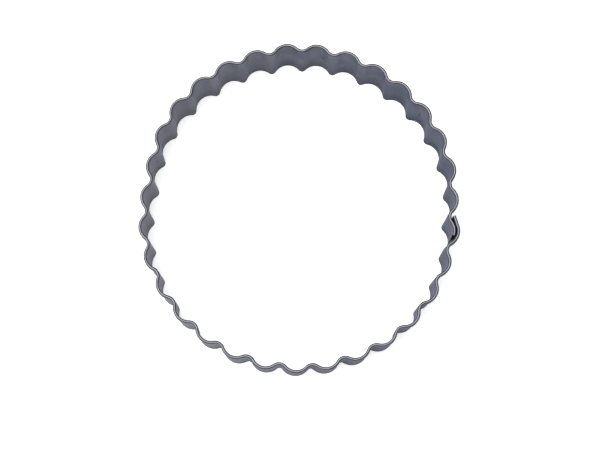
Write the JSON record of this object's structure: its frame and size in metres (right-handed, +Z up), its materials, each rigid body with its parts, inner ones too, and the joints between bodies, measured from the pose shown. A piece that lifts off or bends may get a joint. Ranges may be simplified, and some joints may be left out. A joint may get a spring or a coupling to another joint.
{
  "type": "fluted tart ring",
  "caption": "Bottomless fluted tart ring in thin tinplate with a hemmed top edge, closed by a spot-welded lap seam.",
  "frame": {"origin": "middle of the ring's box in plan, on the surface that its bottom edge rests on", "axes": "+Z up towards the hemmed edge; +X through the flute crest that the lap seam covers; +Y completes a right-handed frame"},
  "size_m": [0.1002, 0.103, 0.0254],
  "materials": {
    "tinplate": "dull tin over rolled sheet steel, fine rolling grain, lightly worn",
    "weld_metal": "matt, darkened by the weld's heat"
  },
  "bodies": {
    "root": {"fluted_band": "tinplate", "seam_weld_lower": "weld_metal", "seam_weld_middle": "weld_metal"}
  },
  "joints": []
}
